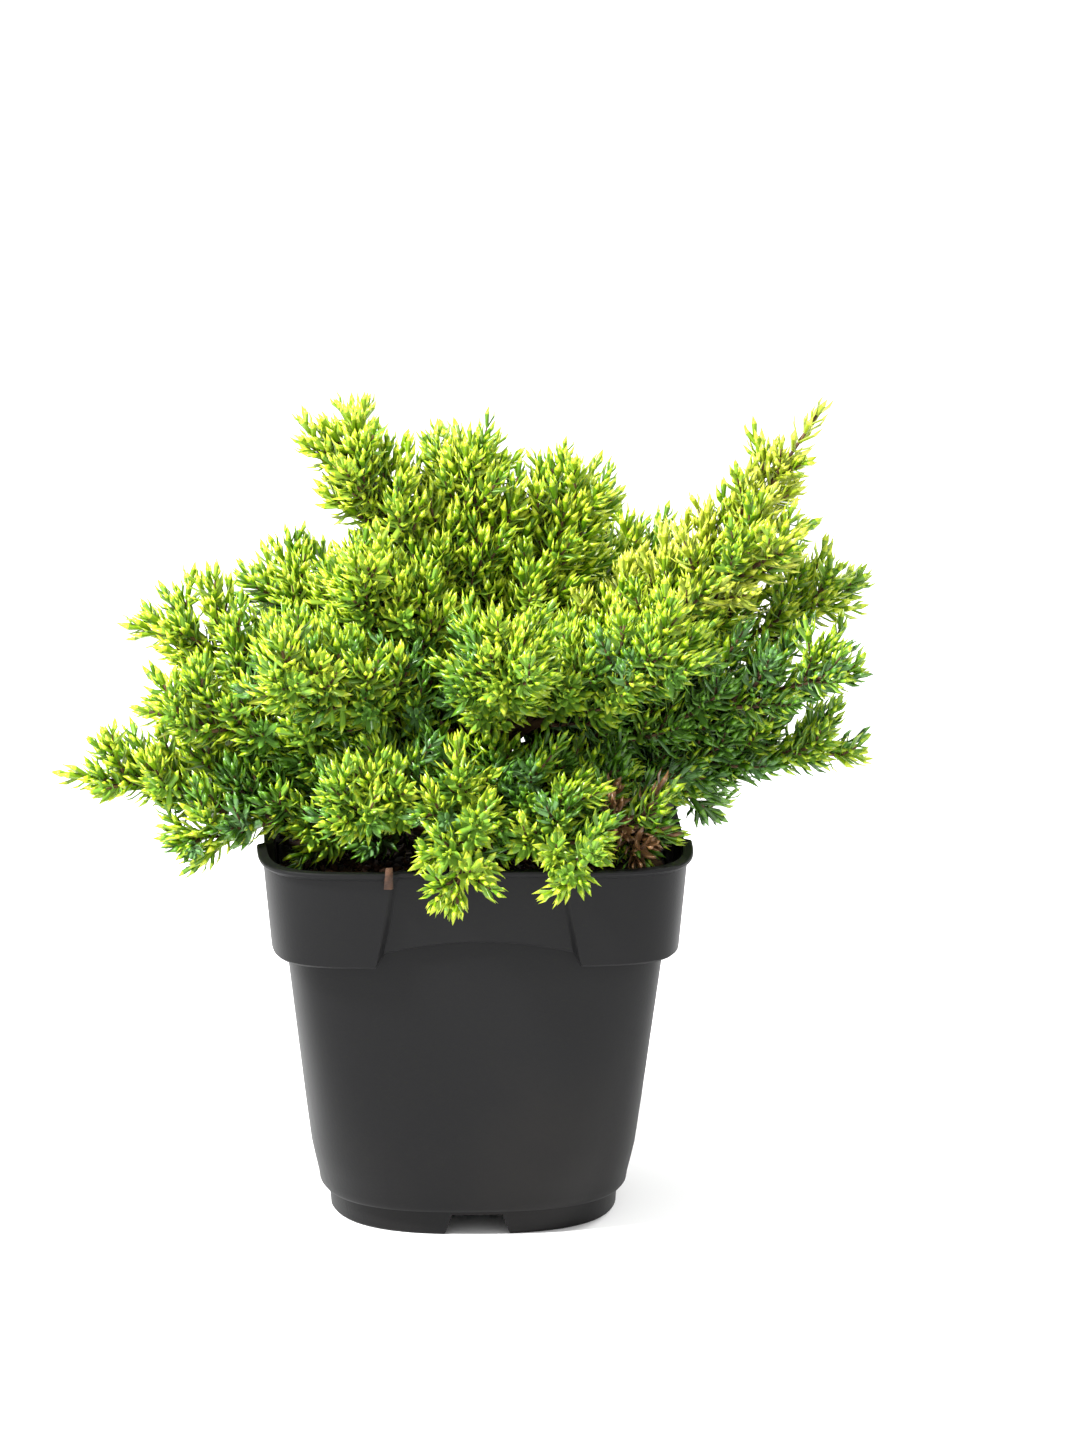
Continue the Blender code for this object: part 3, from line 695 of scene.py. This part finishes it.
def clear_of_pot(point):
    """True if a shoot's tip there is above the compost inside the pot, or outside its walls."""
    if point.z > RIM_HEIGHT + SHOOT_ROOM:
        return True
    x, y = plan_point(RIM_HALF, ROUND_HIGH, math.atan2(point.x, -point.y))
    edge = math.hypot(x, y)
    reach = math.hypot(point.x, point.y)
    if reach > edge + SHOOT_ROOM:
        return point.z > COLLAR_LOW
    return reach < edge - RIM_ROOM and point.z > SOIL_TOP + SHOOT_ROOM


def bares_soil(point):
    """True in the gap at the front left where the compost shows."""
    return BARE_LEFT < point.x < BARE_RIGHT and point.y < BARE_BACK and point.z < BARE_TOP


def may_grow(point):
    return clear_of_pot(point) and not bares_soil(point)


def splayed(forward, turn, ahead, aside, rise):
    """The unit way of a side shoot that leaves its parent at a turn round it."""
    x, y = sides_of(forward)
    side = x * math.cos(turn) + y * math.sin(turn)
    return (forward * ahead + side * aside + UP * rise).normalized()


def curved(origin, way, length, lift, steps):
    """A shoot's middle line, which bends up towards the light."""
    shares = [k / steps for k in range(steps + 1)]
    return [origin + way * length * t + UP * lift * length * t * t for t in shares]


def kind_of(limb, place, rng, depth):
    """The colour kind of a spray, by where it grows and how deep in the crown it is: lighter kinds
    as painted light on the crown's outside and top, darker kinds as painted shade deep inside, low
    down and on the shaded limbs.
    """
    if (place - DEAD_SPOT).length < DEAD_RADIUS and rng.random() < 0.7:
        return "dead"
    if limb.name in GOLDEN_SHARE and rng.random() < GOLDEN_SHARE[limb.name]:
        return "golden"
    across = abs(place.x) / CROWN_HALF_WIDTH
    through = abs(place.y) / CROWN_HALF_DEPTH
    up = (place.z - CROWN_LOW) / CROWN_HEIGHT
    outer = max(across, through, up) - depth
    dice = rng.random()
    if limb.name in SHADED_LIMBS:
        outer -= 0.22
        if dice < 0.3:
            return "cool"
    if place.z < SHADE_TOP:
        outer -= 0.15
    if outer > 0.75:
        return "fresh" if dice < 0.72 else "green"
    if outer > 0.5:
        return "fresh" if dice < 0.35 else "green"
    if dice < 0.5:
        return "green"
    return "deep" if dice < 0.85 else "cool"


def twigs_on(limb, branch, size, shrink, rng):
    """The leafy twigs of a branch, in a spiral round it. shrink is for those near a limb's tip."""
    twigs = []
    turn = rng.uniform(0, math.tau)
    count = max(2, round(SHOOTS_PER_BRANCH * size / FULL_BRANCH))
    for k in range(count):
        share = 0.2 + 0.68 * (k + rng.uniform(0.2, 0.8)) / count
        turn += GOLDEN_TURN
        way = splayed(heading(branch, share), turn, ahead=0.95, aside=0.62, rise=0.2)
        reach = SHOOT_LENGTH * rng.uniform(0.6, 1.0) * (1.15 - 0.5 * share) * shrink
        twig = curved(along(branch, share), way, reach, 0.14, 5)
        if may_grow(twig[-1]):
            # twigs count a little deeper in the crown, which gives them more painted shade
            kind = kind_of(limb, twig[-1], rng, 0.125)
            twigs.append(Shoot(twig, 0.5 * MM, 0.1, kind, 0.92))
    return twigs


def grow(limb, points):
    """Every leafy shoot of a limb: its leader, its side branches, and the twigs on those."""
    rng = random.Random(f"{SEED}-{limb.name}")
    length = path_length(points)
    lead = min(limb.lead * MM / length, 0.6)
    lift = 0.42 if limb.height * MM > RIM_HEIGHT + 10 * MM else 0.05
    first = 0.08 if limb.name in ON_TRUNK else BOUGH_SHARE * 0.4
    last = 1 - (LONG_LEAD_GAP if lead > 0.2 else TIP_GAP) / length
    run = [along(points, first + (last - first) * k / 16) for k in range(17)]
    shoots = [Shoot(run, STEM_RADIUS_FOOT, 0.35, kind_of(limb, run[-1], rng, 0), 1.0)]
    turn = rng.uniform(0, math.tau)
    for index in range(BRANCHES_PER_LIMB):
        place = (index + rng.uniform(0.15, 0.85)) / BRANCHES_PER_LIMB
        share = 0.04 + (0.97 - lead * 0.55) * place
        turn += GOLDEN_TURN
        forward = heading(run, share)
        rise = lift * (1 - 0.8 * max(0, forward.z))
        way = splayed(forward, turn, ahead=0.8, aside=0.66, rise=rise)
        late = min(1, max(0, (share - (1 - lead)) / lead))
        size = limb.girth * MM * rng.uniform(0.6, 1.0) * (1.12 - 0.52 * share) * (1 - 0.75 * late)
        branch = curved(along(run, share), way, size, 0.12, 8)
        if not may_grow(branch[-1]) or not may_grow(branch[5]):
            continue
        shoots.append(Shoot(branch, 0.75 * MM, 0.22, kind_of(limb, branch[-1], rng, 0), 1.0))
        shrink = (1 - 0.25 * share) * (1 - 0.4 * late)
        shoots += twigs_on(limb, branch, size, shrink, rng)
    return shoots


def needle_rows(shoot, rng, rows):
    """Adds one row of numbers a needle: root, way, side, length, and its kind."""
    points = shoot.points
    length = path_length(points)
    count = max(2, int(length * (1 - shoot.leafy) / WHORL_STEP))
    roll = rng.uniform(0, math.tau)
    kind = KINDS.index(shoot.kind)
    for whorl in range(count + 1):
        share = shoot.leafy + (1 - shoot.leafy) * whorl / count
        origin = along(points, share)
        way = heading(points, share)
        x, y = sides_of(way)
        near_tip = max(0.0, 1 - (1 - share) * length / TIP_ZONE)
        spread = math.radians(NEEDLE_SPREAD + (TIP_SPREAD - NEEDLE_SPREAD) * near_tip)
        spread += rng.gauss(0, 0.07)
        size = NEEDLE_LENGTH * shoot.vigour * (1 - 0.28 * near_tip**2)
        for k in range(3):
            turn = roll + math.tau * k / 3 + rng.gauss(0, 0.12)
            out = x * math.cos(turn) + y * math.sin(turn)
            tilt = spread + rng.gauss(0, 0.10)
            pointing = way * math.cos(tilt) + out * math.sin(tilt)
            side = pointing.cross(way).normalized()
            rows.append((*origin, *pointing, *side, size * rng.uniform(0.82, 1.12), kind))
        roll += math.pi / 3 + 0.12


def needle_mesh(name, rows, materials):
    """All the needles of some limbs: flat blades with a dipped upper face and a keel below."""
    data = np.array(rows)
    root, way, side, length = data[:, 0:3], data[:, 3:6], data[:, 6:9], data[:, 9:10]
    upper = np.cross(side, way)
    width = NEEDLE_HALF_WIDTH * length / NEEDLE_LENGTH
    middle = root + way * length * 0.62 - upper * 0.25 * MM
    tip = root + way * length + upper * 0.55 * MM
    corners = np.stack(
        [
            root - side * width * 0.75,
            root - upper * NEEDLE_KEEL * 0.7,
            root + side * width * 0.75,
            root + upper * NEEDLE_HOLLOW * 0.5,
            middle - side * width,
            middle - upper * NEEDLE_KEEL,
            middle + side * width,
            middle - upper * NEEDLE_HOLLOW,
            tip,
        ],
        axis=1,
    )
    quads = np.array(((0, 1, 5, 4), (1, 2, 6, 5), (2, 3, 7, 6), (3, 0, 4, 7)))
    tips = np.array(((4, 5, 8), (5, 6, 8), (6, 7, 8), (7, 4, 8)))
    count = len(data)
    start = np.arange(count)[:, None] * corners.shape[1]
    pattern = np.concatenate((quads.ravel(), tips.ravel()))
    loops = (start + pattern[None, :]).ravel().astype(np.int32)
    sizes = np.tile(np.array([4] * 4 + [3] * 4, dtype=np.int32), count)
    # the four tip faces carry the painted glow of the tip colour, and the two upper faces the
    # painted highlight of the pale band
    parts = np.array([0, 0, 2, 2, 1, 1, 1, 1])  # under, under, upper, upper, and four at the tip
    shades = (data[:, 10:11] * 3 + parts[None, :]).ravel()
    mesh = bpy.data.meshes.new(name)
    fill_mesh(mesh, corners.reshape(-1, 3), loops, sizes, materials, shades)
    return mesh


def needle_materials():
    """Three materials for each kind of spray, in the order that needle_mesh counts them."""
    materials = []
    for kind, colours in NEEDLE_COLOURS.items():
        for part, colour in zip(("under", "tip", "upper"), colours):
            materials.append(plain(f"needle_{kind}_{part}", colour, NEEDLE_ROUGHNESS))
    return materials


def make_foliage(curves, bark):
    """Needles and twigs, in a pair of pieces for every few limbs."""
    materials = needle_materials()
    rng = random.Random(SEED + 2)
    for group in range(0, len(LIMBS), LIMBS_PER_PIECE):
        limbs = LIMBS[group : group + LIMBS_PER_PIECE]
        rows, corners, faces = [], [], []
        for limb in limbs:
            for shoot in grow(limb, curves[limb.name]):
                needle_rows(shoot, rng, rows)
                last = len(shoot.points) - 1
                radii = [shoot.radius * (1 - 0.6 * k / last) for k in range(last + 1)]
                tube_rings(shoot.points, radii, 5, 0, corners, faces)
        number = group // LIMBS_PER_PIECE + 1
        nodes = ["foliage_" + limb.name for limb in limbs]
        needles = needle_mesh(f"needles_{number}", rows, materials)
        object_of(needles, f"needles_{number}", "foliage", *nodes)
        twigs = mesh_of(f"twigs_{number}", corners, faces, [bark])
        object_of(twigs, f"twigs_{number}", "bark")


# Floor, lights and camera


def area_light(name, place, aim, size, power):
    data = bpy.data.lights.new(name, "AREA")
    data.shape = "DISK"
    data.size = size
    data.energy = power
    light = linked(name, data)
    light.location = place
    light.rotation_euler = (Vector(aim) - Vector(place)).to_track_quat("-Z", "Y").to_euler()


def make_floor():
    corners = [(x * FLOOR_HALF, y * FLOOR_HALF, 0) for x, y in ((-1, -1), (1, -1), (1, 1), (-1, 1))]
    white = plain("floor_white", (0.93, 0.93, 0.93), 0.9)
    linked("floor", mesh_of("floor", corners, [(0, 1, 2, 3)], [white]))


def make_lights():
    world = bpy.data.worlds.new("studio")
    world.use_nodes = True
    background = world.node_tree.nodes["Background"]
    background.inputs["Color"].default_value = (1, 1, 1, 1)
    background.inputs["Strength"].default_value = 1.0
    bpy.context.scene.world = world
    area_light("key", (-1.1, -0.6, 1.5), aim=(0, 0, 0.14), size=0.3, power=78)
    area_light("rim", (0.9, 0.6, 1.2), aim=(0, 0, 0.15), size=0.5, power=16)


def make_camera():
    data = bpy.data.cameras.new("camera")
    data.lens = CAMERA_LENS_MM
    data.sensor_width = CAMERA_SENSOR_MM
    data.clip_end = 50
    camera = linked("camera", data)
    camera.location = CAMERA_PLACE
    camera.rotation_euler = CAMERA_TURN
    scene = bpy.context.scene
    scene.camera = camera
    scene.view_settings.view_transform = "Standard"
    scene.cycles.use_denoising = True


def main():
    make_floor()
    make_lights()
    make_camera()
    make_pot()
    make_soil()
    make_chips()
    bark = live_bark()
    curves = {limb.name: limb_curve(limb) for limb in LIMBS}
    make_trunk(bark)
    make_boughs(curves, bark)
    make_foliage(curves, bark)


main()
